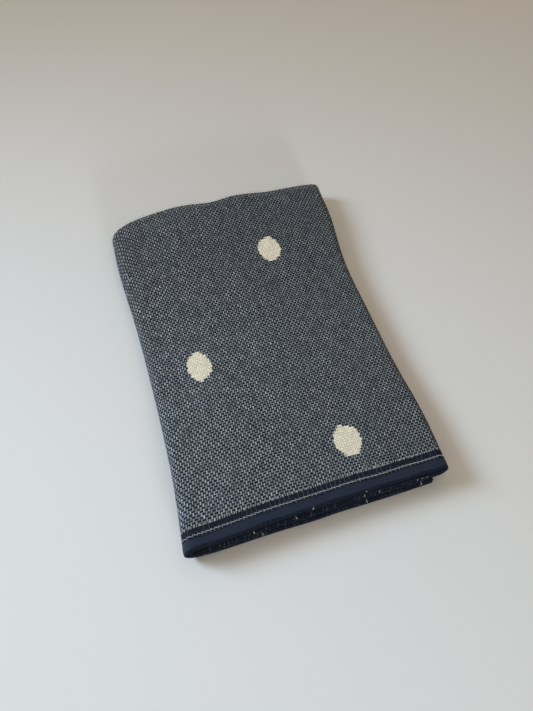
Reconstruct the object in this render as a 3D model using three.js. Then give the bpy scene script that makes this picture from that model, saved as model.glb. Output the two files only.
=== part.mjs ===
// A square wash cloth, folded in half and then rolled in thirds, lying flat with its open hems to the front.
// Millimetres. X runs across the folded cloth, Y from the open hems to the far fold, Z up.
// The doubled cloth is one section, a hairpin seen from the side, carried round the two side folds:
// the inner flap, the right fold, the top panel, the left fold and the bottom flap, six layers in all.

import * as THREE from 'three';

// Driving dimensions
const WIDTH = 114;           // folded, over both side folds
const LENGTH = 167;          // folded, from the open hems to the far fold
const SHEET = 1.2;           // one layer of cloth
const HEM_WIDTH = 5.2;       // bound edge of each open end
const HEM_THICK = 1.55;      // the bound edge is fatter than the cloth
const HEM_EASE = 0.8;        // length over which the hem thins down to the cloth
const INNER_FLAP_SHORT = -0.8; // the inner flap ends this far before the left fold's axis, or past it
const BOTTOM_FLAP_SHORT = 6.5; // the bottom flap stops this far before the right edge
const EDGE_REACH = 0.45;     // share of the width or length over which an uneven edge fades out

// Height from one layer to the next, from the open hems (along 0) to the far fold (along 1)
const PITCH_ROWS = [
  { along: 0.00, pitch: 1.95 },
  { along: 0.08, pitch: 1.90 },
  { along: 0.30, pitch: 1.66 },
  { along: 0.50, pitch: 1.60 },
  { along: 0.72, pitch: 1.66 },
  { along: 1.00, pitch: 1.85 },
];

// How far each side stands out of the plain rectangle: the cloth is drawn in at its waist
const SIDE_ROWS = [
  { along: 0.00, left: 0.0, right: 0.0 },
  { along: 0.16, left: -1.8, right: 0.2 },
  { along: 0.30, left: -2.1, right: -1.4 },
  { along: 0.50, left: -1.8, right: -2.7 },
  { along: 0.68, left: -1.0, right: -3.4 },
  { along: 0.86, left: 0.4, right: -0.6 },
  { along: 1.00, left: -0.2, right: -0.6 },
];

// How far the open hems and the far fold stand out, from the left edge (across 0) to the right (across 1)
const END_ROWS = [
  { across: 0.00, hem: 1.6, fold: -5.0 },
  { across: 0.10, hem: 1.5, fold: 0.3 },
  { across: 0.27, hem: 0.5, fold: 2.7 },
  { across: 0.36, hem: 0.1, fold: 2.6 },
  { across: 0.48, hem: 0.0, fold: 1.2 },
  { across: 0.58, hem: -0.4, fold: 2.1 },
  { across: 0.74, hem: -0.3, fold: 0.3 },
  { across: 0.90, hem: -0.3, fold: -0.5 },
  { across: 1.00, hem: -0.4, fold: -2.0 },
];

// How far the hems below the top one stand in front of it, at both ends of each straight run
const STAGGER_ROWS = {
  innerFree: { outer: 1.5, inner: 1.0 },
  innerRight: { outer: 1.0, inner: 0.6 },
  topRight: { outer: 0.0, inner: 1.1 },
  topLeft: { outer: 0.0, inner: 0.2 },
  bottomLeft: { outer: 1.1, inner: 0.9 },
  bottomFree: { outer: 2.3, inner: 2.0 },
};

// How far those hems bow forward, or back, between the ends of a run
const BOW_ROWS = {
  none: { outer: 0.0, inner: 0.0 },
  top: { outer: 0.0, inner: -0.5 },
  bottom: { outer: 0.95, inner: 0.95 },
};

// Soft swellings and hollows of the stack: where they lie, how wide and long, and how far they rise
const SWELL_ROWS = [
  { across: 0.34, along: 0.97, wide: 0.20, long: 0.12, rise: 1.5 },
  { across: 0.62, along: 0.98, wide: 0.10, long: 0.10, rise: 0.9 },
  { across: 0.50, along: 0.88, wide: 0.08, long: 0.12, rise: -0.5 },
  { across: 0.30, along: 0.18, wide: 0.25, long: 0.14, rise: 0.6 },
  { across: 0.75, along: 0.22, wide: 0.20, long: 0.12, rise: 0.5 },
  { across: 0.08, along: 0.50, wide: 0.12, long: 0.40, rise: -0.7 },
];

// Steps of the mesh
const FLAP_STEPS = 12;
const TOP_STEPS = 16;
const SIDE_FOLD_STEPS = 10;
const FAR_FOLD_STEPS = 8;
const LENGTH_STEPS = 10;
const HEM_NOSE_SHARES = [0.02, 0.15, 0.5, 1]; // shares of the nose radius, from the very edge inwards

// Levels of the doubled cloth's middle, counted in layer pitches above the floor
const BOTTOM_LEVEL = 1;
const INNER_LEVEL = 3;
const TOP_LEVEL = 5;
const LAYERS = TOP_LEVEL + 1;

const UP = Math.PI / 2;

// A smooth curve through a table: cubic pieces whose slopes come from the neighbouring rows
function curveThrough(rows, key, column) {
  const at = rows.map((row) => row[key]);
  const value = rows.map((row) => row[column]);
  const last = rows.length - 1;
  const slope = at.map((_, i) => {
    const before = Math.max(i - 1, 0);
    const after = Math.min(i + 1, last);
    return (value[after] - value[before]) / (at[after] - at[before]);
  });
  return (place) => {
    const x = THREE.MathUtils.clamp(place, at[0], at[last]);
    let i = 0;
    while (i < last - 1 && x > at[i + 1]) i += 1;
    const gap = at[i + 1] - at[i];
    const t = (x - at[i]) / gap;
    const ease = t * t * (3 - 2 * t);
    const leave = t * (1 - t) * (1 - t) * gap * slope[i];
    const arrive = t * t * (1 - t) * gap * slope[i + 1];
    return value[i] + (value[i + 1] - value[i]) * ease + leave - arrive;
  };
}

const pitchAt = curveThrough(PITCH_ROWS, 'along', 'pitch');
const leftOut = curveThrough(SIDE_ROWS, 'along', 'left');
const rightOut = curveThrough(SIDE_ROWS, 'along', 'right');
const hemOut = curveThrough(END_ROWS, 'across', 'hem');
const foldOut = curveThrough(END_ROWS, 'across', 'fold');

const acrossOf = (x) => THREE.MathUtils.clamp(x / WIDTH + 0.5, 0, 1);
const alongOf = (y) => THREE.MathUtils.clamp(y / LENGTH + 0.5, 0, 1);

// 1 at an edge (distance 0), falling smoothly to 0 at EDGE_REACH
const fade = (distance) => 1 - THREE.MathUtils.smoothstep(distance, 0, EDGE_REACH);

// Stations round the side folds. Each has the fold's axis (x and level), its radius in pitches, and the
// direction in which the outer face looks. A straight run is a fold of radius 0 whose axis moves along.
function foldStations() {
  const hemPitch = PITCH_ROWS[0].pitch;
  const smallFold = (TOP_LEVEL - INNER_LEVEL) / 2;
  const largeFold = (TOP_LEVEL - BOTTOM_LEVEL) / 2;
  const outerLayer = 0.5; // the outer layer lies half a pitch outside the doubled cloth's middle
  const rightAxis = WIDTH / 2 - (smallFold + outerLayer) * hemPitch - SHEET / 2;
  const leftAxis = -WIDTH / 2 + (largeFold + outerLayer) * hemPitch + SHEET / 2;
  const stations = [];

  // Straight runs go from x to x, folds from angle to angle, and the stagger changes evenly on both
  const carry = (steps, skipEnds, from, to, bow = BOW_ROWS.none) => {
    const blend = (share, pick) => THREE.MathUtils.lerp(pick(from), pick(to), share);
    for (let i = skipEnds; i <= steps - skipEnds; i += 1) {
      const share = i / steps;
      const arch = 4 * share * (1 - share);
      stations.push({
        x: blend(share, (end) => end.x),
        angle: blend(share, (end) => end.angle),
        level: from.level,
        radius: from.radius,
        outer: blend(share, (end) => STAGGER_ROWS[end.at].outer) + bow.outer * arch,
        inner: blend(share, (end) => STAGGER_ROWS[end.at].inner) + bow.inner * arch,
      });
    }
  };
  const run = (steps, level, angle, from, to, bow) => {
    carry(steps, 0, { ...from, level, angle, radius: 0 }, { ...to, angle }, bow);
  };
  const turn = (x, radius, angle, fromAt, toAt) => {
    const from = { x, angle, level: TOP_LEVEL - radius, radius, at: fromAt };
    carry(SIDE_FOLD_STEPS, 1, from, { x, angle: angle + Math.PI, at: toAt });
  };

  const innerEdge = { x: leftAxis + INNER_FLAP_SHORT, at: 'innerFree' };
  const bottomEdge = { x: WIDTH / 2 - BOTTOM_FLAP_SHORT, at: 'bottomFree' };
  run(FLAP_STEPS, INNER_LEVEL, -UP, innerEdge, { x: rightAxis, at: 'innerRight' });
  turn(rightAxis, smallFold, -UP, 'innerRight', 'topRight');
  const topEdges = [{ x: rightAxis, at: 'topRight' }, { x: leftAxis, at: 'topLeft' }];
  run(TOP_STEPS, TOP_LEVEL, UP, ...topEdges, BOW_ROWS.top);
  turn(leftAxis, largeFold, UP, 'topLeft', 'bottomLeft');
  run(FLAP_STEPS, BOTTOM_LEVEL, -UP, { x: leftAxis, at: 'bottomLeft' }, bottomEdge, BOW_ROWS.bottom);
  return stations;
}

// Rows along the doubled cloth, from the outer layer's hem over the far fold to the inner layer's hem.
// turn is 0 on the outer layer and PI on the inner one; rest is the thickness that settles on the floor.
function doubledRows() {
  const front = -LENGTH / 2;
  const noseRadius = HEM_THICK / 2;
  const foldAxis = LENGTH / 2 - (PITCH_ROWS[PITCH_ROWS.length - 1].pitch + SHEET) / 2;
  const layer = HEM_NOSE_SHARES.map((share) => ({
    y: front + noseRadius * share,
    turn: 0,
    thick: HEM_THICK * Math.sqrt(1 - (1 - share) ** 2),
    rest: HEM_THICK,
  }));
  layer.push({ y: front + HEM_WIDTH, turn: 0, thick: HEM_THICK, rest: HEM_THICK });
  const bodyStart = front + HEM_WIDTH + HEM_EASE;
  for (let i = 0; i <= LENGTH_STEPS; i += 1) {
    const y = THREE.MathUtils.lerp(bodyStart, foldAxis, i / LENGTH_STEPS);
    layer.push({ y, turn: 0, thick: SHEET, rest: SHEET });
  }
  const fold = [];
  for (let i = 1; i < FAR_FOLD_STEPS; i += 1) {
    fold.push({ y: foldAxis, turn: Math.PI * i / FAR_FOLD_STEPS, thick: SHEET, rest: SHEET });
  }
  const under = layer.map((row) => ({ ...row, turn: Math.PI })).reverse();
  return [...layer, ...fold, ...under];
}

// How far the top of the stack rises or sinks at a place
function swellAt(across, along) {
  return SWELL_ROWS.reduce((sum, row) => {
    const dx = (across - row.across) / row.wide;
    const dy = (along - row.along) / row.long;
    return sum + row.rise * Math.exp(-dx * dx - dy * dy);
  }, 0);
}

// The point of one face (1 outer, -1 inner) of one row at one station
function clothPoint(station, row, face) {
  const pitch = pitchAt(alongOf(row.y));
  const offset = pitch / 2 + face * row.thick / 2;
  const normal = offset * Math.cos(row.turn);
  const reach = station.radius * pitch + normal;
  const stagger = row.turn < UP ? station.outer : station.inner;
  const floor = (pitch - row.rest) / 2;

  const x = station.x + reach * Math.cos(station.angle);
  const y = row.y + offset * Math.sin(row.turn) - stagger * fade(alongOf(row.y));
  const z = station.level * pitch + reach * Math.sin(station.angle) - floor;

  const across = acrossOf(x);
  const along = alongOf(y);
  const out = rightOut(along) * fade(1 - across) - leftOut(along) * fade(across);
  const forth = foldOut(across) * fade(1 - along) - hemOut(across) * fade(along);
  const swell = swellAt(across, along) / (LAYERS * pitch);
  return [x + out, y + forth, z * (1 + swell)];
}

// One closed body: a ring of outer and inner face points at each station, and a strip across each free edge
function clothGeometry() {
  const stations = foldStations();
  const rows = doubledRows();
  const ringSize = rows.length * 2;
  const positions = [];
  for (const station of stations) {
    for (const row of rows) positions.push(...clothPoint(station, row, 1));
    for (const row of [...rows].reverse()) positions.push(...clothPoint(station, row, -1));
  }

  const indices = [];
  const quad = (a, b, c, d) => indices.push(a, b, c, a, c, d);
  for (let s = 0; s < stations.length - 1; s += 1) {
    for (let r = 0; r < ringSize; r += 1) {
      const next = (r + 1) % ringSize;
      const here = s * ringSize;
      const there = here + ringSize;
      quad(here + r, here + next, there + next, there + r);
    }
  }
  const lastRing = (stations.length - 1) * ringSize;
  for (let r = 0; r < rows.length - 1; r += 1) {
    const opposite = ringSize - 1 - r;
    quad(r, opposite, opposite - 1, r + 1);
    quad(lastRing + r, lastRing + r + 1, lastRing + opposite - 1, lastRing + opposite);
  }

  const geometry = new THREE.BufferGeometry();
  geometry.setAttribute('position', new THREE.Float32BufferAttribute(positions, 3));
  geometry.setIndex(indices);
  geometry.computeBoundingBox();
  const centre = geometry.boundingBox.getCenter(new THREE.Vector3());
  geometry.translate(-centre.x, -centre.y, -geometry.boundingBox.min.z);
  geometry.computeVertexNormals();
  return geometry;
}

const weave = new THREE.MeshStandardMaterial({ color: 0x565d6b, roughness: 0.95, metalness: 0 });
const cloth = new THREE.Mesh(clothGeometry(), weave);
cloth.name = 'cloth';

const part = new THREE.Group();
part.add(cloth);

export default part;
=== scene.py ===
# %% [markdown]
# A folded wash cloth, made in Blender.
# The real thing is one square of plain-woven cotton, navy across and cream along, with ivory oval dots woven
# in and an overlocked hem on its two cut ends. It is folded in half, then rolled in thirds, and lies flat.
# Each cell below makes one piece or one finish, and prints what it made.

# %% Load the frame
import math

import bpy
import numpy as np
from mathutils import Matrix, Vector


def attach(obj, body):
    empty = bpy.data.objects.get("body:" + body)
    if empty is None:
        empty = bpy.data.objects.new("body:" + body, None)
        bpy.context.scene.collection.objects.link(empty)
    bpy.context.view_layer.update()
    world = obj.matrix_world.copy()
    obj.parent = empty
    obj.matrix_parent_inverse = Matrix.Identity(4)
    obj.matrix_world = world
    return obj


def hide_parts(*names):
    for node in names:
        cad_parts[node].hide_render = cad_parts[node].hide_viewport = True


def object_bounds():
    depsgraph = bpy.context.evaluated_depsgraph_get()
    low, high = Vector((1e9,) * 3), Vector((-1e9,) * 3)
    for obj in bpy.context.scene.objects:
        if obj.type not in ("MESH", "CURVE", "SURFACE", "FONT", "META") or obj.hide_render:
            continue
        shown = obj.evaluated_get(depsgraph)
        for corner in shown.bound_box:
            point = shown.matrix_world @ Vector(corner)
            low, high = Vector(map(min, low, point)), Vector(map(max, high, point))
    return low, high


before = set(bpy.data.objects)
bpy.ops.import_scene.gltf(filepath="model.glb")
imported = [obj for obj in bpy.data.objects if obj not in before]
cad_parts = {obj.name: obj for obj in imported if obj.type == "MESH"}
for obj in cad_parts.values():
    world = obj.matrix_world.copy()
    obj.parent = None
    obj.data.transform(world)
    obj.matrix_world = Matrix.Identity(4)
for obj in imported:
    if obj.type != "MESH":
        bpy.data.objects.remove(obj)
solid_low, solid_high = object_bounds()
MM = 0.001
print("solid box, mm:", [round(v / MM, 1) for v in (*solid_low, *solid_high)])

# %% [markdown]
# The shape of the folds. A cloth simulation could drop six layers on a table, but the stack would slide out
# of line and change with every setting. The folds here are neat, so a formula carries the doubled cloth round
# its two side folds, and short tables hold what makes it uneven: the drawn-in waist, the lumpy far fold, the
# hems that don't quite meet, the creases. All lengths in these cells are millimetres.

# %% Sizes of the folded cloth
WIDTH = 114.0
LENGTH = 167.0
SHEET = 1.2
HEM_WIDTH = 5.2
HEM_THICK = 1.55
HEM_EASE = 0.8
INNER_FLAP_SHORT = -0.8
BOTTOM_FLAP_SHORT = 6.5
EDGE_REACH = 0.45
UP = math.pi / 2

PITCH_ROWS = {
    "along": (0.00, 0.08, 0.30, 0.50, 0.72, 1.00),
    "pitch": (1.95, 1.90, 1.66, 1.60, 1.66, 1.85),
}
SIDE_ROWS = {
    "along": (0.00, 0.16, 0.30, 0.50, 0.68, 0.86, 1.00),
    "left": (0.0, -1.8, -2.1, -1.8, -1.0, 0.4, -0.2),
    "right": (0.0, 0.2, -1.4, -2.7, -3.4, -0.6, -0.6),
}
END_ROWS = {
    "across": (0.00, 0.10, 0.27, 0.36, 0.48, 0.58, 0.74, 0.90, 1.00),
    "hem": (1.6, 1.5, 0.5, 0.1, 0.0, -0.4, -0.3, -0.3, -0.4),
    "fold": (-5.0, 0.3, 2.7, 2.6, 1.2, 2.1, 0.3, -0.5, -2.0),
}
# Both ends of the inner flap, then of the top panel, then of the bottom flap
STAGGER_ROWS = {
    "outer": (1.5, 1.0, 0.0, 0.0, 1.1, 2.3),
    "inner": (1.0, 0.6, 1.1, 0.2, 0.9, 2.0),
}
# How far a hem bows forward between the ends of its run: inner flap, right fold, top, left fold, bottom flap
BOW_ROWS = {
    "outer": (0.0, 0.0, 0.0, 0.0, 0.95),
    "inner": (0.0, 0.0, -0.5, 0.0, 0.95),
}
SWELL_ROWS = {
    "across": (0.34, 0.62, 0.50, 0.30, 0.75, 0.08),
    "along": (0.97, 0.98, 0.88, 0.18, 0.22, 0.50),
    "wide": (0.20, 0.10, 0.08, 0.25, 0.20, 0.12),
    "long": (0.12, 0.10, 0.12, 0.14, 0.12, 0.40),
    "rise": (1.5, 0.9, -0.5, 0.6, 0.5, -0.7),
}
# Creases of the top panel, each at its own place, turned in degrees: two troughs and a ridge by the far dot,
# and a trough by the near one
CREASE_ROWS = {
    "x": (5.5, 8.0, -12.0, 0.0),
    "y": (50.5, 58.0, 58.0, -45.0),
    "turn": (-14, -10, -10, 3),
    "long": (8.0, 9.0, 6.0, 10.5),
    "wide": (2.0, 3.0, 2.2, 2.2),
    "rise": (-0.55, 0.28, -0.36, -0.50),
}


# %% A smooth curve through a table
def smooth_curve(table, key, column):
    """Cubic pieces through the rows; the slope at a row is that of the line through its two neighbours."""
    at = np.array(table[key])
    value = np.array(table[column])
    last = len(at) - 1
    before = np.maximum(np.arange(last + 1) - 1, 0)
    after = np.minimum(np.arange(last + 1) + 1, last)
    slope = (value[after] - value[before]) / (at[after] - at[before])

    def curve(place):
        x = np.clip(place, at[0], at[-1])
        i = np.clip(np.searchsorted(at, x) - 1, 0, last - 1)
        gap = at[i + 1] - at[i]
        t = (x - at[i]) / gap
        ease = t * t * (3 - 2 * t)
        bend = t * (1 - t) * gap * ((1 - t) * slope[i] - t * slope[i + 1])
        return value[i] + (value[i + 1] - value[i]) * ease + bend

    return curve


pitch_at = smooth_curve(PITCH_ROWS, "along", "pitch")
left_out = smooth_curve(SIDE_ROWS, "along", "left")
right_out = smooth_curve(SIDE_ROWS, "along", "right")
hem_out = smooth_curve(END_ROWS, "across", "hem")
fold_out = smooth_curve(END_ROWS, "across", "fold")
print("layer pitch at the hems, middle and far fold:", [round(float(pitch_at(a)), 2) for a in (0, 0.5, 1)])


# %% Where a thread column lies round the side folds
hem_pitch = PITCH_ROWS["pitch"][0]
mean_pitch = float(np.mean(PITCH_ROWS["pitch"]))
right_axis = WIDTH / 2 - 1.5 * hem_pitch - SHEET / 2
left_axis = -WIDTH / 2 + 2.5 * hem_pitch + SHEET / 2
RUNS = np.array(
    [
        (left_axis + INNER_FLAP_SHORT, right_axis, 3, 0, -UP, -UP),
        (right_axis, right_axis, 4, 1, -UP, UP),
        (right_axis, left_axis, 5, 0, UP, UP),
        (left_axis, left_axis, 3, 2, UP, 3 * UP),
        (left_axis, WIDTH / 2 - BOTTOM_FLAP_SHORT, 1, 0, -UP, -UP),
    ],
    dtype=[(name, float) for name in ("x0", "x1", "level", "radius", "angle0", "angle1")],
)
run_length = np.abs(RUNS["x1"] - RUNS["x0"])
run_length += np.abs(RUNS["angle1"] - RUNS["angle0"]) * RUNS["radius"] * mean_pitch
knots = np.concatenate([[0.0], np.cumsum(run_length)])
flat_width = float(knots[-1])


def station_at(across):
    """Fold axis, facing angle, level and radius at a distance across the flat cloth from the inner edge."""
    i = np.clip(np.searchsorted(knots, across, side="right") - 1, 0, len(RUNS) - 1)
    share = (across - knots[i]) / run_length[i]
    run = RUNS[i]
    x = run["x0"] + (run["x1"] - run["x0"]) * share
    angle = run["angle0"] + (run["angle1"] - run["angle0"]) * share
    return x, angle, run["level"], run["radius"]


# %% Where a thread row lies between the hems and the far fold
front = -LENGTH / 2
far_pitch = PITCH_ROWS["pitch"][-1]
fold_axis = LENGTH / 2 - (far_pitch + SHEET) / 2
layer_length = fold_axis - front
turn_length = math.pi * far_pitch / 2
flat_length = 2 * layer_length + turn_length


def row_at(along):
    """Y, turn of the far fold (0 outer layer, pi inner one) and settled thickness at a distance along."""
    edge = np.minimum(along, flat_length - along)
    y = front + np.minimum(edge, layer_length)
    turn = math.pi * np.clip((along - layer_length) / turn_length, 0, 1)
    rest = HEM_THICK + (SHEET - HEM_THICK) * np.clip((edge - HEM_WIDTH) / HEM_EASE, 0, 1)
    return y, turn, rest


print(f"the flat cloth is {flat_width:.0f} mm across and {flat_length:.0f} mm long")


# %% From the flat cloth to the folded one
def fade(distance):
    """1 at an edge, falling smoothly to 0 at EDGE_REACH."""
    t = np.clip(distance / EDGE_REACH, 0, 1)
    return 1 - t * t * (3 - 2 * t)


def stagger_at(across, layer):
    """How far a hem stands in front: a straight line between each run's ends, plus an arch over the run."""
    i = np.clip(np.searchsorted(knots, across, side="right") - 1, 0, len(RUNS) - 1)
    share = (across - knots[i]) / run_length[i]
    arch = 4 * share * (1 - share) * np.array(BOW_ROWS[layer])[i]
    return np.interp(across, knots, STAGGER_ROWS[layer]) + arch


def swell_at(across, along):
    """Sum of soft round swellings and hollows, each a bell of its own width, length and rise."""
    total = 0.0
    for at, by, wide, long, rise in zip(*SWELL_ROWS.values()):
        total = total + rise * np.exp(-(((across - at) / wide) ** 2) - ((along - by) / long) ** 2)
    return total


def ripple_at(across, along):
    """Faint waves of handled cloth: three slanting sine waves, each about a tenth of a millimetre high."""
    waves = np.sin(31 * across + 9 * along + 0.6) * np.sin(5 * along + 1.1)
    waves += 0.8 * np.sin(12 * across - 27 * along + 2.0)
    waves += 0.6 * np.sin(19 * across + 40 * along + 4.2)
    return 0.1 * waves


def crease_at(x, y):
    """Sum of soft troughs and ridges, each a bell across its own line that fades as a bell along it."""
    total = 0.0
    for at, by, turn, long, wide, rise in zip(*CREASE_ROWS.values()):
        cos, sin = math.cos(math.radians(turn)), math.sin(math.radians(turn))
        along_line = (x - at) * cos + (y - by) * sin
        off_line = (y - by) * cos - (x - at) * sin
        total = total + rise * np.exp(-((along_line / long) ** 2) - (off_line / wide) ** 2)
    return total


def folded(across, along, rise):
    """Folded place in mm of flat-cloth points: distances across, along, and rise out of the middle."""
    across, along, rise = np.broadcast_arrays(*np.atleast_1d(across, along, rise))
    sx, angle, level, radius = station_at(across)
    y, turn, rest = row_at(along)
    share = np.clip(y / LENGTH + 0.5, 0, 1)
    pitch = pitch_at(share)
    offset = pitch / 2 + rise
    reach = radius * pitch + offset * np.cos(turn)
    stagger = np.where(turn < UP, stagger_at(across, "outer"), stagger_at(across, "inner"))
    x = sx + reach * np.cos(angle)
    y = y + offset * np.sin(turn) - stagger * fade(share)
    z = level * pitch + reach * np.sin(angle) - (pitch - rest) / 2
    right = np.clip(x / WIDTH + 0.5, 0, 1)
    back = np.clip(y / LENGTH + 0.5, 0, 1)
    x = x + right_out(back) * fade(1 - right) - left_out(back) * fade(right)
    y = y + fold_out(right) * fade(1 - back) - hem_out(right) * fade(back)
    uneven = swell_at(right, back) + ripple_at(right, back) + crease_at(x, y)
    z = z * (1 + uneven / (6 * pitch))
    return np.stack([x, y, z], axis=-1)


# %% Centre the cloth on the frame
probe = folded(np.linspace(0, flat_width, 400)[:, None], np.linspace(0, flat_length, 400)[None, :], SHEET / 2)
probe = probe.reshape(-1, 3)
solid_middle = (np.array(solid_low) + np.array(solid_high)) / 2 / MM
shift = solid_middle - (probe.min(axis=0) + probe.max(axis=0)) / 2
shift[2] = 0.0
print("moved by, mm:", shift.round(2))


def placed(across, along, rise):
    """The folded place in metres, in the frame."""
    return (folded(across, along, rise) + shift) * MM


# %% [markdown]
# The sheet itself. It could be a flat grid with a Solidify modifier, but the layers lie a few tenths of a
# millimetre apart, and the modifier would push them through each other at the tight folds. So both faces are
# worked out by the formula: one ring of points for each step across, outer face first and inner face back,
# closed at the hems and at the two side edges. A UV map keeps each point's place on the flat cloth, in
# metres, so that the weave follows the threads round every fold.


# %% Mesh helpers
def new_object(name, points, faces, uv=None):
    """A smooth mesh object from an array of points and arrays of faces, with an optional UV."""
    mesh = bpy.data.meshes.new(name)
    corners = np.concatenate([f.ravel() for f in faces]).astype(np.int32)
    sizes = np.concatenate([np.full(len(f), f.shape[1]) for f in faces])
    starts = np.concatenate([[0], np.cumsum(sizes)[:-1]]).astype(np.int32)
    mesh.vertices.add(len(points))
    mesh.vertices.foreach_set("co", np.ascontiguousarray(points, dtype=np.float32).ravel())
    mesh.loops.add(len(corners))
    mesh.loops.foreach_set("vertex_index", corners)
    mesh.polygons.add(len(starts))
    mesh.polygons.foreach_set("loop_start", starts)
    mesh.polygons.foreach_set("use_smooth", np.ones(len(starts), dtype=bool))
    mesh.update(calc_edges=True)
    mesh.validate()
    if uv is not None:
        layer = mesh.uv_layers.new(name="flat_place")
        layer.uv.foreach_set("vector", np.ascontiguousarray(uv[corners], dtype=np.float32).ravel())
    piece = bpy.data.objects.new(name, mesh)
    bpy.context.scene.collection.objects.link(piece)
    print(f"{name}: {len(points)} points, {int((sizes - 2).sum())} triangles")
    return piece


def ring_quads(rings, size):
    """Quads between neighbouring rings of equal size, each ring closed on itself."""
    here = (np.arange(rings - 1) * size)[:, None]
    i = np.arange(size)[None, :]
    j = (i + 1) % size
    return np.stack([here + i, here + j, here + size + j, here + size + i], axis=-1).reshape(-1, 4)


# %% The cloth sheet
def run_steps(steps):
    """Distances across the cloth with the given number of equal steps on each run and fold."""
    pieces = [np.linspace(knots[i], knots[i + 1], n, endpoint=False) for i, n in enumerate(steps)]
    return np.concatenate([*pieces, [flat_width]])


def length_steps(nose, hem, body, turn):
    """Distances along the cloth: close at the rounded hem, even over the body, close round the far fold."""
    nose_radius = SHEET / 2
    edge = nose_radius * (1 - np.cos(np.linspace(0.08, UP, nose)))
    hem_part = np.linspace(nose_radius, HEM_WIDTH + 2 * HEM_EASE, hem)[1:]
    body_part = np.linspace(HEM_WIDTH + 2 * HEM_EASE, layer_length, body)[1:]
    layer = np.concatenate([edge, hem_part, body_part])
    fold = layer_length + turn_length * np.arange(1, turn) / turn
    return np.concatenate([layer, fold, (flat_length - layer)[::-1]])


def sheet_half_thickness(along):
    """Half of the sheet, rounded like a half circle at the cut edges inside the hems."""
    edge = np.minimum(along, flat_length - along)
    share = np.clip(edge / (SHEET / 2), 0, 1)
    return SHEET / 2 * np.sqrt(1 - (1 - share) ** 2)


def layer_knots(side):
    """Distances of the runs' ends on one layer of the doubled cloth: a fold is longer outside than inside."""
    turn = np.abs(RUNS["angle1"] - RUNS["angle0"])
    length = np.abs(RUNS["x1"] - RUNS["x0"])
    length = length + turn * (RUNS["radius"] * mean_pitch + side * (mean_pitch + SHEET) / 2)
    ends = np.concatenate([[0.0], np.cumsum(length)])
    return ends - ends[2] + knots[2]


def flat_across(across, along):
    """Distance across the unfolded cloth: a smooth step drifts it from the outer layer's to the inner's."""
    outer = np.interp(across, knots, layer_knots(1))
    inner = np.interp(across, knots, layer_knots(-1))
    start = layer_length / 2
    share = np.clip((along - start) / (flat_length - 2 * start), 0, 1)
    return outer + (inner - outer) * share * share * (3 - 2 * share)


columns = run_steps((36, 20, 104, 26, 36))
rows = length_steps(nose=6, hem=10, body=66, turn=18)
half = sheet_half_thickness(rows)
outer_face = placed(columns[:, None], rows[None, :], half[None, :])
inner_face = placed(columns[:, None], rows[None, ::-1], -half[None, ::-1])
rings = np.concatenate([outer_face, inner_face], axis=1)
ring_size = rings.shape[1]
ring_rows = np.concatenate([rows, rows[::-1]])
flat_columns = flat_across(columns[:, None], ring_rows[None, :])
flat_uv = np.stack(np.broadcast_arrays(flat_columns, ring_rows[None, :]), axis=-1).reshape(-1, 2) * MM
r = np.arange(len(rows) - 1)
edge_strip = np.stack([r, ring_size - 1 - r, ring_size - 2 - r, r + 1], axis=-1)
far_strip = edge_strip[:, ::-1] + (len(columns) - 1) * ring_size
sheet = new_object(
    "cloth_sheet",
    rings.reshape(-1, 3),
    [ring_quads(len(columns), ring_size), edge_strip, far_strip],
    flat_uv,
)


# %% [markdown]
# Threads. Hem wraps, stitches, loose ends and fuzz are all yarn, so one helper makes them: a round profile
# carried along many paths at once. Paths are drawn on the flat cloth, in distances across, along and above
# it, and the fold formula carries them to their places, so a stitch stays on its hem round a fold.


# %% A helper for many threads at once
def unit(v):
    return v / np.maximum(np.linalg.norm(v, axis=-1, keepdims=True), 1e-12)


def thread_object(name, paths, outward, radius, sides=6):
    """Tubes round paths (threads, points, 3): a ring of sides at each point, closed at both ends."""
    threads, steps = paths.shape[:2]
    tangent = unit(np.gradient(paths, axis=1))
    beside = unit(np.cross(tangent, outward))
    above = np.cross(beside, tangent)
    angle = np.arange(sides) * 2 * math.pi / sides
    wide = np.broadcast_to(radius, (threads, steps))[..., None, None]
    around = np.cos(angle)[:, None] * beside[:, :, None, :] + np.sin(angle)[:, None] * above[:, :, None, :]
    points = (paths[:, :, None, :] + wide * around).reshape(-1, 3)
    base = (np.arange(threads) * steps * sides)[:, None, None]
    quads = (base + ring_quads(steps, sides)[None]).reshape(-1, 4)
    first = base[:, 0] + np.arange(sides)[None, ::-1]
    last = base[:, 0] + (steps - 1) * sides + np.arange(sides)[None, :]
    gone = np.cumsum(np.linalg.norm(np.diff(paths, axis=1, prepend=paths[:, :1]), axis=-1), axis=1)
    uv = np.stack(np.broadcast_arrays(gone[..., None], MM * angle / (2 * math.pi)), axis=-1).reshape(-1, 2)
    return new_object(name, points, [quads, first, last], uv)


def cloth_threads(name, across, along, rise, radius, sides=6):
    """Threads given on the flat cloth, each with the way out of the cloth as its upper side."""
    paths = placed(across, along, rise)
    outward = unit(placed(across, along, rise + 0.05) - paths)
    return thread_object(name, paths, outward, np.asarray(radius) * MM, sides)


# %% [markdown]
# The overlocked hem. On the real cloth a thick navy thread wraps each cut end so closely that it looks like a
# smooth cord. A loop for every wrap would be over a thousand curves. A closed tube with an oval section,
# carried along the cloth's edge and grooved by a fine wave, has the same rounded edge and shows the wraps up
# close.

# %% Hem binding
WRAP_PITCH = 0.62
WRAP_STEP = WRAP_PITCH / 4
GROOVE = 0.07
BINDING_POINTS = 16
BINDING_ROUND = 2.5


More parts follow.
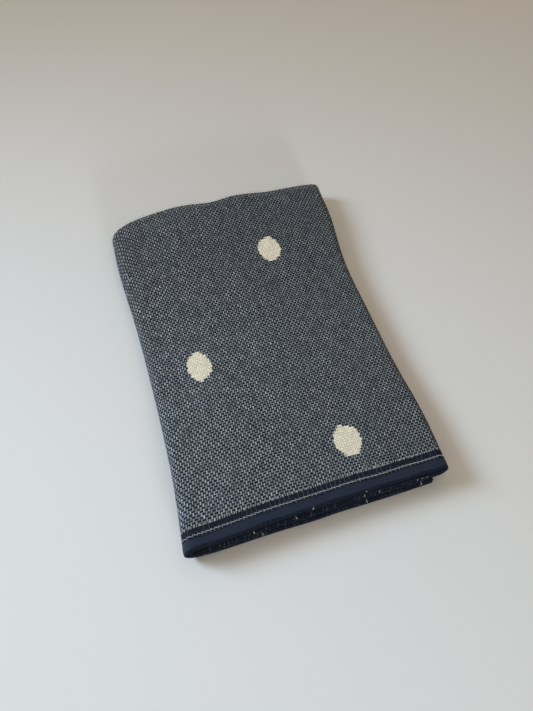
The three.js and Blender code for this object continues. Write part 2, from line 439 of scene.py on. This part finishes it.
def hem_binding(name, of_inner_layer):
    """Super-oval section round the hem, its half width and thickness dipping at each gap between wraps."""
    across = np.arange(0.05, flat_width, WRAP_STEP)[:, None]
    angle = (np.arange(BINDING_POINTS) * 2 * math.pi / BINDING_POINTS)[None, :]
    wander = 0.25 * np.sin(0.9 * across) + 0.2 * np.sin(2.3 * across + 1)
    wrap = np.abs(np.sin(math.pi * (across + 0.5 * np.cos(angle) + wander) / WRAP_PITCH))
    inset = GROOVE * (1 - wrap) + 0.03 * (1 + np.sin(0.37 * across + 2 * np.sin(0.11 * across)))
    wide, thick = HEM_WIDTH / 2 - inset, HEM_THICK / 2 - inset
    power = 2 / BINDING_ROUND
    edge = HEM_WIDTH / 2 + wide * np.sign(np.cos(angle)) * np.abs(np.cos(angle)) ** power
    rise = thick * np.sign(np.sin(angle)) * np.abs(np.sin(angle)) ** power
    along = flat_length - edge if of_inner_layer else edge
    points = placed(across, along, rise)
    size = points.shape[1]
    quads = ring_quads(len(points), size)
    caps = np.arange(size)[None, :]
    ends = [caps[:, ::-1], caps + (len(points) - 1) * size]
    if of_inner_layer:
        quads, ends = quads[:, ::-1], [e[:, ::-1] for e in ends]
    uv = np.stack(np.broadcast_arrays(across, HEM_WIDTH * angle / math.pi), axis=-1).reshape(-1, 2) * MM
    return new_object(name, points.reshape(-1, 3), [quads, *ends], uv)


bindings = [hem_binding("hem_binding_outer", False), hem_binding("hem_binding_inner", True)]

# %% [markdown]
# The cream needle thread. It shows as a line of separate stitches along the inner side of the binding, each
# one rising out of the cloth and dipping back in, a little aslant. A thinner looper thread ties each stitch
# to the binding. The bottom flap's face lies on the table, so the stitches are made only on the faces that
# stand clear.

# %% Needle stitches
STITCH = 1.72
STITCH_RADIUS = 0.145
NEEDLE_EDGE = HEM_WIDTH + 0.2
chance = np.random.default_rng(7)


def jitter(count, size):
    """One random number for each thread, as a column."""
    return chance.normal(0, size, (count, 1))


def needle_line(name, start, stop):
    """Stitches along the hem: height and thickness follow half a sine over each stitch's own length."""
    at = np.arange(start, stop, STITCH)[:, None]
    count = len(at)
    share = np.linspace(0, 1, 7)[None, :]
    hump = np.sin(math.pi * share)
    edge = NEEDLE_EDGE + 0.08 * np.sin(0.31 * at) + jitter(count, 0.04)
    edge = edge + (0.35 + jitter(count, 0.08)) * (share - 0.5)
    across = at + (STITCH - 0.1) * (share - 0.5) + jitter(count, 0.06)
    rise = SHEET / 2 - 0.16 + (0.38 + jitter(count, 0.05)) * hump
    return cloth_threads(name, across, edge, rise, STITCH_RADIUS * (0.4 + 0.6 * hump))


def looper_ties(name, start, stop):
    """Short ticks across the needle line at every stitch, from the border to the binding's rounded top."""
    at = np.arange(start + STITCH / 2, stop, STITCH)[:, None]
    count = len(at)
    share = np.linspace(0, 1, 7)[None, :]
    edge = NEEDLE_EDGE + 0.55 - (1.15 + np.abs(jitter(count, 0.2))) * share
    section = np.clip(1 - np.abs(2 * edge / HEM_WIDTH - 1) ** BINDING_ROUND, 0, 1) ** (1 / BINDING_ROUND)
    rise = np.maximum(HEM_THICK / 2 * section, SHEET / 2) + 0.04
    across = at + jitter(count, 0.08) + jitter(count, 0.12) * share
    return cloth_threads(name, across, edge, rise, 0.10 * (1 - 0.4 * share), sides=5)


stitch_start, stitch_stop = knots[1] - 2, knots[3] + 6
needle = needle_line("needle_stitches", stitch_start, stitch_stop)
ties = looper_ties("looper_ties", stitch_start, stitch_stop)

# %% [markdown]
# Cream bars cross the narrow navy border just inside the needle line. They are cream lengthwise threads,
# which float over the border's navy rows, every second one. Where the hem was pulled, bars are missing or
# sunk: few show near the left fold, most in the middle, and faint ones on the right.

# %% Border bars
COLUMN = 1.0
ROW = 1.17
BORDER_START = HEM_WIDTH + 0.45
BORDER_END = BORDER_START + 2.5
BAR_ROWS = {
    "across": (0.0, 0.3, 0.5, 0.62, 0.8, 1.0),
    "kept": (0.40, 0.45, 0.90, 0.85, 0.45, 0.40),
    "radius": (0.13, 0.13, 0.15, 0.15, 0.10, 0.09),
}
bar_across = np.arange(stitch_start, stitch_stop, 2 * COLUMN)
bar_right = placed(bar_across, 6.0, 0.0)[:, 0] / (WIDTH * MM) + 0.5
kept = chance.random(len(bar_across)) < np.interp(bar_right, BAR_ROWS["across"], BAR_ROWS["kept"])
bar_across, bar_right = bar_across[kept, None], bar_right[kept, None]
bar_share = np.linspace(0, 1, 7)[None, :]
bar_hump = np.sin(math.pi * bar_share)
bars = cloth_threads(
    "border_bars",
    bar_across + jitter(len(bar_across), 0.12) * bar_share,
    BORDER_START + (BORDER_END - BORDER_START + jitter(len(bar_across), 0.12)) * bar_share,
    SHEET / 2 - 0.1 + 0.2 * bar_hump,
    np.interp(bar_right, BAR_ROWS["across"], BAR_ROWS["radius"]) * (0.7 + 0.3 * bar_hump),
    sides=5,
)

# %% Pin dots at the end of the border
pin_across = np.arange(stitch_start, stitch_stop, COLUMN)[:, None]
pins = cloth_threads(
    "border_pins",
    pin_across + jitter(len(pin_across), 0.08) + 0 * bar_share,
    BORDER_END + jitter(len(pin_across), 0.06) + 0.8 * bar_share,
    SHEET / 2 - 0.12 + 0.26 * bar_hump,
    0.15 * (0.6 + 0.4 * bar_hump) * (1 + jitter(len(pin_across), 0.2)),
    sides=5,
)

# %% [markdown]
# The lower hems show their cut side: looper threads wrapped over the edge, like a row of pale ticks, and a
# few cream ends that were never trimmed. The ticks follow the binding's oval section over its nose.


# %% Wraps and loose ends on the lower hems
WRAP_LIFT = 0.03


def across_at(x, run):
    """Distance across the flat cloth of a place x, in mm, on one of the straight runs."""
    start, stop = RUNS["x0"][run], RUNS["x1"][run]
    return knots[run] + (np.asarray(x) - start) / (stop - start) * run_length[run]


def over_the_nose(across, of_inner_layer, start, stop, lift):
    """Paths round the binding's oval, from one angle to another; a half turn is the nose."""
    angle = start + (stop - start) * np.linspace(0, 1, 8)[None, :]
    power = 2 / BINDING_ROUND
    edge = HEM_WIDTH / 2 + (HEM_WIDTH / 2 + lift) * np.sign(np.cos(angle)) * np.abs(np.cos(angle)) ** power
    rise = (HEM_THICK / 2 + lift) * np.sign(np.sin(angle)) * np.abs(np.sin(angle)) ** power
    return across, flat_length - edge if of_inner_layer else edge, rise


def wraps(name, x, run, of_inner_layer, radius, upper, lower):
    """A wrap at each x; upper and lower are angles from the nose, towards the hem's top and its underside."""
    count = len(x)
    across = across_at(x, run)[:, None] + jitter(count, 0.25) * np.linspace(-1, 1, 8)[None, :]
    top_is_plus = (run == 2) != of_inner_layer
    side = 1 if top_is_plus else -1
    start = math.pi - side * (upper + jitter(count, 0.1))
    stop = math.pi + side * (lower + jitter(count, 0.1))
    taper = np.sin(math.pi * (0.15 + 0.7 * np.linspace(0, 1, 8)))[None, :]
    path = over_the_nose(across, of_inner_layer, start, stop, WRAP_LIFT)
    return cloth_threads(name, *path, radius * taper, sides=5)


def scattered(first, last, pitch, keep):
    """Places from first to last at a pitch, each a little off, some left out."""
    x = np.arange(first, last, pitch)
    x = x + chance.normal(0, 0.25, len(x))
    return x[chance.random(len(x)) < keep]


lower_wraps = [
    wraps("wraps_third_hem", scattered(-46, 50, 1.75, 0.5), 0, True, 0.2, 1.0, 0.5),
    wraps("wraps_fourth_hem", scattered(-46, 50, 1.75, 0.4), 0, False, 0.18, 0.9, 0.4),
    wraps("wraps_fifth_hem", scattered(-48, 48, 1.75, 0.5), 4, True, 0.18, 1.0, 0.5),
]
LOOSE_ENDS_THIRD = np.array((-28.0, -10.0, 19.5, 26.0, 43.0, 45.2, 47.4))
LOOSE_ENDS_FIFTH = np.array((-49.0, -24.5, 20.5, 45.0))
LOOSE_ENDS_TOP = np.array((-3.0, 20.0))
loose_ends = [
    wraps("loose_ends_third", LOOSE_ENDS_THIRD, 0, True, 0.24, 1.15, 0.7),
    wraps("loose_ends_fifth", LOOSE_ENDS_FIFTH, 4, True, 0.24, 1.1, 0.7),
    wraps("loose_ends_top", LOOSE_ENDS_TOP, 2, False, 0.2, 0.6, 0.3),
]

# %% [markdown]
# Soft cotton has a nap: short hairs stand out of the yarn and blur the outline. They could be a hair system,
# but that wouldn't travel with the model, so they are fine curved threads scattered over the faces that show,
# and one longer thread has worked loose at the left fold.

# %% Nap and a loose thread
NAP_RADIUS = 0.024
NAP_ON_FACES = 2600
NAP_ON_FAR_FOLD = 1500
LOOSE_THREAD_RADIUS = 0.15
LOOSE_THREAD_ALONG = 133.8


def nap_threads(name, count, first, last, stand_up):
    """Hairs that start in the cloth at a random heading: height is a sine of the length gone."""
    share = np.linspace(0, 1, 5)[None, :]
    across = chance.uniform(knots[1] + 1.5, knots[4] - 5, (count, 1))
    along = chance.uniform(first, last, (count, 1))
    heading = chance.uniform(0, 2 * math.pi, (count, 1))
    long = chance.uniform(0.5, 1.6, (count, 1))
    stand = chance.uniform(0.1, stand_up, (count, 1))
    gone = long * share
    rise = SHEET / 2 - 0.04 + long * stand * np.sin(0.75 * math.pi * share)
    bend = heading + chance.normal(0, 0.8, (count, 1)) * share
    across = across + gone * np.cos(bend)
    along = along + gone * np.sin(bend)
    return cloth_threads(name, across, along, rise, NAP_RADIUS, sides=3)


nap = [
    nap_threads("nap_faces", NAP_ON_FACES, HEM_WIDTH + 3.5, layer_length, 0.5),
    nap_threads("nap_far_fold", NAP_ON_FAR_FOLD, layer_length - 2, layer_length + 0.8 * turn_length, 0.9),
]
loose_share = np.linspace(0, 1, 24)[None, :]
loose_thread = cloth_threads(
    "loose_thread",
    knots[3] - 1.0 + 3.4 * loose_share + 0.6 * np.sin(6 * loose_share),
    LOOSE_THREAD_ALONG + 3.4 * loose_share - 1.3 * np.sin(5 * loose_share),
    SHEET / 2 - 0.1 + 1.0 * np.sin(2.7 * loose_share),
    LOOSE_THREAD_RADIUS,
)

# %% [markdown]
# Where the camera stands. The outline in the photograph fixes it: in front of the cloth and above it, a
# little to the left, looking down steeply.

# %% Camera
IMAGE_HEIGHT_PX = 711
FOCAL_PX = 600
CAMERA_PLACE = Vector((-38.0, -134.1, 250.9)) * MM
CAMERA_HEADING = math.radians(16.9)
CAMERA_DOWN = math.radians(61.9)
SENSOR = 36.0

look = Vector((
    math.sin(CAMERA_HEADING) * math.cos(CAMERA_DOWN),
    math.cos(CAMERA_HEADING) * math.cos(CAMERA_DOWN),
    -math.sin(CAMERA_DOWN),
))
camera_data = bpy.data.cameras.new("camera")
camera_data.sensor_width = SENSOR
camera_data.lens = SENSOR * FOCAL_PX / IMAGE_HEIGHT_PX
camera_data.clip_start = 0.01
camera = bpy.data.objects.new("camera", camera_data)
camera.location = CAMERA_PLACE
camera.rotation_mode = "QUATERNION"
camera.rotation_quaternion = look.to_track_quat("-Z", "Y")
bpy.context.scene.collection.objects.link(camera)
bpy.context.scene.camera = camera
print(f"camera lens {camera_data.lens:.1f} mm")


# %% [markdown]
# Finishes are built from shader nodes. A small helper keeps the wiring short: each call adds one node and
# gives back the socket that comes out of it.


# %% Wiring helper
class Wiring:
    """Adds nodes to one node tree and joins them."""

    def __init__(self, tree):
        self.tree = tree

    def add(self, kind, **settings):
        made = self.tree.nodes.new(kind)
        for name, value in settings.items():
            setattr(made, name, value)
        return made

    def feed(self, socket, value):
        if isinstance(value, bpy.types.NodeSocket):
            self.tree.links.new(value, socket)
        else:
            socket.default_value = value

    def math(self, operation, *values):
        made = self.add("ShaderNodeMath", operation=operation)
        for socket, value in zip(made.inputs, values):
            self.feed(socket, value)
        return made.outputs[0]

    def total(self, first, *others):
        for other in others:
            first = self.math("ADD", first, other)
        return first

    def product(self, first, *others):
        for other in others:
            first = self.math("MULTIPLY", first, other)
        return first

    def ramp(self, value, low, high, to_low=0.0, to_high=1.0):
        """Smooth step from low to high."""
        made = self.add("ShaderNodeMapRange", interpolation_type="SMOOTHSTEP")
        for socket, given in zip(made.inputs, (value, low, high, to_low, to_high)):
            self.feed(socket, given)
        return made.outputs[0]

    def blend(self, share, first, second):
        """Colour mix."""
        made = self.add("ShaderNodeMix", data_type="RGBA")
        self.feed(made.inputs[0], share)
        self.feed(made.inputs[6], first)
        self.feed(made.inputs[7], second)
        return made.outputs[2]

    def shade(self, colour, by):
        """A colour made lighter or darker."""
        made = self.add("ShaderNodeVectorMath", operation="SCALE")
        self.feed(made.inputs[0], colour if isinstance(colour, bpy.types.NodeSocket) else colour[:3])
        self.feed(made.inputs["Scale"], by)
        return made.outputs[0]

    def pair(self, x, y):
        made = self.add("ShaderNodeCombineXYZ")
        self.feed(made.inputs[0], x)
        self.feed(made.inputs[1], y)
        return made.outputs[0]

    def noise(self, place, scale, detail=2.0):
        made = self.add("ShaderNodeTexNoise", noise_dimensions="2D")
        self.feed(made.inputs["Vector"], place)
        self.feed(made.inputs["Scale"], scale)
        self.feed(made.inputs["Detail"], detail)
        return made.outputs[0]

    def chance(self, place):
        """A number from 0 to 1, fixed for each whole-number place."""
        made = self.add("ShaderNodeTexWhiteNoise", noise_dimensions="2D")
        self.feed(made.inputs["Vector"], place)
        return made.outputs["Value"]

    def flat_place(self):
        """Distances across and along the flat cloth, in millimetres."""
        uv = self.add("ShaderNodeUVMap", uv_map="flat_place")
        split = self.add("ShaderNodeSeparateXYZ")
        self.feed(split.inputs[0], uv.outputs[0])
        return self.product(split.outputs[0], 1000.0), self.product(split.outputs[1], 1000.0)


def new_group(name, inputs, outputs):
    """A shader node group with float sockets; returns it with its wiring, input node and output node."""
    group = bpy.data.node_groups.new(name, "ShaderNodeTree")
    for socket in inputs:
        group.interface.new_socket(socket, in_out="INPUT", socket_type="NodeSocketFloat")
    for socket in outputs:
        group.interface.new_socket(socket, in_out="OUTPUT", socket_type="NodeSocketFloat")
    wires = Wiring(group)
    return group, wires, wires.add("NodeGroupInput").outputs, wires.add("NodeGroupOutput").inputs


def new_finish(name, roughness, gloss):
    """A material with an empty Principled surface; returns it with its wiring and the shader's inputs."""
    finish = bpy.data.materials.new(name)
    finish.use_nodes = True
    finish.node_tree.nodes.clear()
    wires = Wiring(finish.node_tree)
    shader = wires.add("ShaderNodeBsdfPrincipled")
    shader.inputs["Roughness"].default_value = roughness
    shader.inputs["Specular IOR Level"].default_value = gloss
    out = wires.add("ShaderNodeOutputMaterial")
    wires.tree.links.new(shader.outputs[0], out.inputs[0])
    return finish, wires, shader.inputs


def bump(wires, height, distance, strength=1.0):
    made = wires.add("ShaderNodeBump")
    made.inputs["Strength"].default_value = strength
    made.inputs["Distance"].default_value = distance
    wires.feed(made.inputs["Height"], height)
    return made.outputs[0]


# %% [markdown]
# The weave. Each crosswise thread rises and falls as a cosine over the lengthwise ones, and they do the
# opposite; whichever stands higher shows. That one rule gives the navy dashes, the cream ticks between them
# and the relief of both. An image of cloth would repeat and blur, and real threads would be far too many.


# %% Plain weave group
def plain_weave():
    """Each thread covers its half width and waves as a cosine; where two cross, the higher covers."""
    group, w, given, out = new_group(
        "plain_weave",
        ("Across", "Along", "Warp Half", "Weft Half"),
        ("Warp", "Weft", "Height", "Column", "Row"),
    )
    column = w.math("FLOOR", given["Across"])
    row = w.math("FLOOR", given["Along"])

    def thread(own, place, beside, half, up):
        slub = w.noise(w.pair(w.product(place, 0.35), w.product(own, 5.3)), 1.0, 1.0)
        half = w.product(half, w.total(0.7, w.product(slub, 0.6)))
        off = w.math("ABSOLUTE", w.math("SUBTRACT", w.math("FRACT", beside), 0.5))
        cover = w.ramp(off, w.total(half, 0.08), w.total(half, -0.08))
        wave = w.math("COSINE", w.product(w.total(place, own, -0.5), math.pi))
        return cover, w.total(w.product(wave, 0.5 * up), w.product(cover, 0.5))

    weft_cover, weft = thread(row, given["Across"], given["Along"], given["Weft Half"], 1.0)
    warp_cover, warp = thread(column, given["Along"], given["Across"], given["Warp Half"], -1.0)
    under = w.product(warp_cover, w.ramp(w.math("SUBTRACT", weft, warp), 0.15, -0.15))
    w.feed(out["Warp"], warp_cover)
    w.feed(out["Weft"], w.product(weft_cover, w.math("SUBTRACT", 1.0, under)))
    w.feed(out["Height"], w.math("MAXIMUM", w.product(weft, weft_cover), w.product(warp, warp_cover)))
    w.feed(out["Column"], column)
    w.feed(out["Row"], row)
    return group


weave_nodes = plain_weave()
print("weave group:", len(weave_nodes.nodes), "nodes")

# %% [markdown]
# The cloth's finish. Navy crosswise threads, greyed cream lengthwise ones, and the dots, where both threads
# are ivory. The gaps between threads are painted dark, as painted shade. The dots follow a half-drop lattice
# over the whole cloth, pulled slightly out of square in the wash. Towards the far fold the cream and the gaps
# are painted a little darker: painted shade for the light that falls off there.
# Each row of a dot ends where its thread does, so the edges come out stepped and slightly ragged.

# %% Colours
NAVY = (0.0075, 0.0105, 0.0200, 1)
CREAM = (0.250, 0.260, 0.260, 1)
# Painted shade: the colour of the gaps between the threads, where neither thread covers
PAINTED_GAP_SHADE = (0.084, 0.090, 0.098, 1)
IVORY = (0.745, 0.660, 0.505, 1)
# Painted shade: the darker ivory in the gaps between a dot's threads
PAINTED_IVORY_GAP_SHADE = (0.415, 0.365, 0.275, 1)
BINDING_NAVY = (0.0140, 0.0185, 0.0325, 1)
NEEDLE_CREAM = (0.36, 0.36, 0.335, 1)
LOOPER_GREY = (0.060, 0.068, 0.082, 1)

# %% Woven cloth finish
DOT_ACROSS = 51.8
DOT_ALONG = 106.9
DOT_WIDE = 5.7
DOT_LONG = 7.15
DOT_SKEW = 0.0113
DOT_FIRST = (knots[2] + right_axis - 20.3, 22.8)
# Painted shade for the light falling off towards the far fold: where it starts, along, and the share left at
# the fold
FAR_PAINTED_SHADE_START = 60.0
FAR_PAINTED_SHADE = 0.84


def woven_cloth():
    finish, w, surface = new_finish("woven_cloth", roughness=0.95, gloss=0.15)
    across, along = w.flat_place()
    place = w.pair(across, along)
    slow = w.math("SUBTRACT", w.noise(place, 0.05), 0.5)
    quick = w.math("SUBTRACT", w.noise(place, 0.35), 0.5)
    wander = w.total(w.product(slow, 1.2), w.product(quick, 0.35))
    weave = w.add("ShaderNodeGroup", node_tree=weave_nodes)
    middle = w.total(across, -flat_width / 2)
    # A slow sine across the cloth: on the top panel a little more cream shows towards the left, and it is
    # lighter there
    sine_across = w.math("SINE", w.product(middle, math.pi / 120))
    crowding = w.product(w.math("COSINE", w.product(middle, math.pi / 120)), 2.3)
    sway = w.math("SINE", w.product(w.total(along, -30.0), math.pi / 110))
    lean = w.total(w.product(along, 0.03), w.product(sway, 2.1))
    spread = w.product(w.math("SINE", w.product(along, 2 * math.pi / flat_length)), 1.87)
    w.feed(weave.inputs["Across"], w.total(w.math("DIVIDE", w.total(middle, crowding, lean), COLUMN), wander))
    weave_along = w.math("SUBTRACT", w.math("DIVIDE", w.total(along, spread), ROW), wander)
    w.feed(weave.inputs["Along"], weave_along)
    w.feed(weave.inputs["Warp Half"], w.total(w.product(sine_across, 0.015), 0.255))
    weave.inputs["Weft Half"].default_value = 0.36
    column, row = weave.outputs["Column"], weave.outputs["Row"]

    # Dots: each row of threads has its own two ends
    row_place = w.total(along, w.product(w.math("SUBTRACT", w.total(row, 0.5), weave_along), ROW))
    v = w.math("SUBTRACT", row_place, DOT_FIRST[1])
    u = w.math("SUBTRACT", across, w.total(w.product(v, DOT_SKEW), DOT_FIRST[0]))
    step = w.math("ROUND", w.math("DIVIDE", u, DOT_ACROSS))
    du = w.math("SUBTRACT", u, w.product(step, DOT_ACROSS))
    v = w.math("SUBTRACT", v, w.product(w.math("PINGPONG", step, 1.0), DOT_ALONG / 2))
    dv = w.math("SUBTRACT", v, w.product(w.math("ROUND", w.math("DIVIDE", v, DOT_ALONG)), DOT_ALONG))
    side = w.math("SIGN", du)
    du = w.math("DIVIDE", du, DOT_WIDE)
    dv = w.math("DIVIDE", dv, DOT_LONG)
    ragged = w.ramp(w.chance(w.pair(row, side)), 0.0, 1.0, -0.12, 0.12)
    fine = w.product(w.math("SUBTRACT", w.noise(place, 2.0), 0.5), 0.3)
    dot = w.ramp(w.total(w.product(du, du), w.product(dv, dv), ragged, fine), 1.08, 0.94)

    # The navy border inside each hem
    edge = w.math("MINIMUM", along, w.math("SUBTRACT", flat_length, along))
    border = w.ramp(edge, BORDER_END + 0.1, BORDER_END - 0.1)

    # Each thread's own shade, the odd bright tick, random patches, a slow sine across, and painted shade at
    # the far end
    weft_shade = w.ramp(w.chance(w.pair(row, 3.7)), 0.0, 1.0, 0.75, 1.3)
    warp_shade = w.ramp(w.chance(w.pair(column, 8.1)), 0.0, 1.0, 0.94, 1.06)
    patch = w.ramp(w.noise(place, 0.25), 0.25, 0.75, 0.82, 1.18)
    # Painted shade: darker towards the far fold, where the light falls off
    far_painted_shade = w.ramp(along, FAR_PAINTED_SHADE_START, layer_length, 1.0, FAR_PAINTED_SHADE)
    tone_and_painted_shade = w.product(patch, far_painted_shade, w.total(w.product(sine_across, 0.06), 0.94))
    tick_shade = w.ramp(w.chance(w.pair(column, row)), 0.0, 1.0, 0.7, 1.3)
    stray = w.ramp(w.chance(w.pair(row, column)), 0.985, 0.99, 1.0, 1.4)

    warp_colour = w.shade(w.blend(border, CREAM, NAVY), w.product(warp_shade, tick_shade, stray, tone_and_painted_shade))
    weft_colour = w.shade(NAVY, weft_shade)
    # Where neither thread covers, the gap shows its painted shade
    painted_gap_shade = w.shade(w.blend(border, PAINTED_GAP_SHADE, NAVY), far_painted_shade)
    under_weft = w.blend(weave.outputs["Warp"], painted_gap_shade, warp_colour)
    ground = w.blend(weave.outputs["Weft"], under_weft, weft_colour)
    thread = w.math("MAXIMUM", weave.outputs["Weft"], weave.outputs["Warp"])
    # Gaps between a dot's threads get the darker ivory, as painted shade
    ivory = w.shade(w.blend(thread, PAINTED_IVORY_GAP_SHADE, IVORY), w.ramp(tick_shade, 0.7, 1.3, 0.92, 1.05))
    w.feed(surface["Base Color"], w.blend(dot, ground, ivory))

    fuzz = w.noise(place, 3.0, 3.0)
    height = w.total(weave.outputs["Height"], w.product(fuzz, 0.3), w.product(dot, 0.4))
    w.feed(surface["Normal"], bump(w, height, 0.3 * MM, 0.7))
    return finish


cloth_finish = woven_cloth()
print("woven cloth:", len(cloth_finish.node_tree.nodes), "nodes")

# %% [markdown]
# Yarn finishes. The binding and the needle thread are both twisted yarn, in two colours, so they share one
# group: slanting ridges along the thread, their grooves painted a little darker as painted shade, and a slow
# change of shade.


# %% Twisted yarn group and finishes
def twisted_yarn():
    """Ridges: a sine of the distance along the thread plus the turn round it."""
    group, w, given, out = new_group("twisted_yarn", ("Along", "Round", "Twists"), ("Height", "Shade"))
    phase = w.total(w.product(given["Along"], given["Twists"]), given["Round"])
    ridge = w.math("SINE", w.product(phase, 2 * math.pi))
    mottle = w.noise(w.pair(given["Along"], given["Round"]), 1.7, 3.0)
    w.feed(out["Height"], w.total(w.product(ridge, 0.5), mottle))
    # The ridge term lightens the crests and darkens the grooves: painted shade on the twist
    w.feed(out["Shade"], w.total(0.62, w.product(mottle, 0.7), w.product(ridge, 0.06)))
    return group


yarn_nodes = twisted_yarn()


def yarn_finish(name, colour, twists, roughness, depth, fuzz=0.0):
    finish, w, surface = new_finish(name, roughness, gloss=0.12)
    surface["Sheen Weight"].default_value = fuzz
    surface["Sheen Roughness"].default_value = 0.45
    surface["Sheen Tint"].default_value = (0.72, 0.82, 1.0, 1)
    along, around = w.flat_place()
    yarn = w.add("ShaderNodeGroup", node_tree=yarn_nodes)
    w.feed(yarn.inputs["Along"], along)
    w.feed(yarn.inputs["Round"], around)
    yarn.inputs["Twists"].default_value = twists
    w.feed(surface["Base Color"], w.shade(colour, yarn.outputs["Shade"]))
    w.feed(surface["Normal"], bump(w, yarn.outputs["Height"], depth * MM, 0.6))
    return finish


binding_finish = yarn_finish("binding_yarn", BINDING_NAVY, 1.6, 0.8, 0.06, fuzz=0.18)
needle_finish = yarn_finish("needle_yarn", NEEDLE_CREAM, 2.5, 0.85, 0.04)
looper_finish = yarn_finish("looper_yarn", LOOPER_GREY, 2.5, 0.85, 0.04)
print("yarn finishes:", binding_finish.name, needle_finish.name, looper_finish.name)

# %% Put the finishes on
sheet.data.materials.append(cloth_finish)
for piece in bindings:
    piece.data.materials.append(binding_finish)
for piece in (needle, ties, pins, *nap, loose_thread, *loose_ends):
    piece.data.materials.append(needle_finish)
for piece in (bars, *lower_wraps):
    piece.data.materials.append(looper_finish)

# %% [markdown]
# The stage: a plain pale floor, one large cool window-like light from the far left, a weak
# low one from the front that reaches the lower hems, and a soft warm fill.


# %% Floor
def floor_finish():
    finish, w, surface = new_finish("pale_floor", roughness=0.7, gloss=0.3)
    where = w.add("ShaderNodeTexCoord").outputs["Object"]
    cloud = w.noise(where, 2.0, 3.0)
    w.feed(surface["Base Color"], w.blend(cloud, (0.60, 0.575, 0.545, 1), (0.64, 0.61, 0.58, 1)))
    return finish


FLOOR_HALF = 1.5
FLOOR_DROP = -0.00005
floor_points = np.array([(-1, -1, 0), (1, -1, 0), (1, 1, 0), (-1, 1, 0)]) * FLOOR_HALF + (0, 0, FLOOR_DROP)
floor = new_object("floor", floor_points, [np.array([[0, 1, 2, 3]])])
floor.data.materials.append(floor_finish())


# %% Lights
def area_light(name, place, target, size, power, colour, spread=180):
    """A square lamp at place, turned to look at target, in metres; spread is its beam in degrees."""
    data = bpy.data.lights.new(name, "AREA")
    data.size = size
    data.energy = power
    data.color = colour
    data.spread = math.radians(spread)
    lamp = bpy.data.objects.new(name, data)
    lamp.location = place
    lamp.rotation_mode = "QUATERNION"
    lamp.rotation_quaternion = (Vector(target) - Vector(place)).to_track_quat("-Z", "Y")
    bpy.context.scene.collection.objects.link(lamp)
    return lamp


area_light("window", (-0.80, 0.38, 0.55), (0.02, -0.30, 0), 0.40, 2.25, (0.60, 0.80, 1.0), spread=60)
area_light("low_front", (0.10, -1.40, 0.26), (0, -0.08, 0.006), 0.25, 0.45, (0.74, 0.87, 1.0), spread=32)
area_light("ceiling", (0.30, 0.80, 1.60), (0, 0, 0), 1.6, 5.0, (1.0, 0.78, 0.55))
world = bpy.data.worlds.new("studio")
world.use_nodes = True
world.node_tree.nodes["Background"].inputs[0].default_value = (1.0, 0.88, 0.70, 1)
world.node_tree.nodes["Background"].inputs[1].default_value = 0.40
bpy.context.scene.world = world
bpy.context.scene.view_settings.view_transform = "Standard"

# %% [markdown]
# Last, the pieces are tied to the frame. The sheet stands for the solid cloth. Everything rides on the one
# body.

# %% Tie the pieces to the frame
hem_pieces = [*bindings, needle, ties, bars, pins, *lower_wraps, *loose_ends, *nap, loose_thread]
for piece in (sheet, *hem_pieces):
    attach(piece, "root")
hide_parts("cloth")
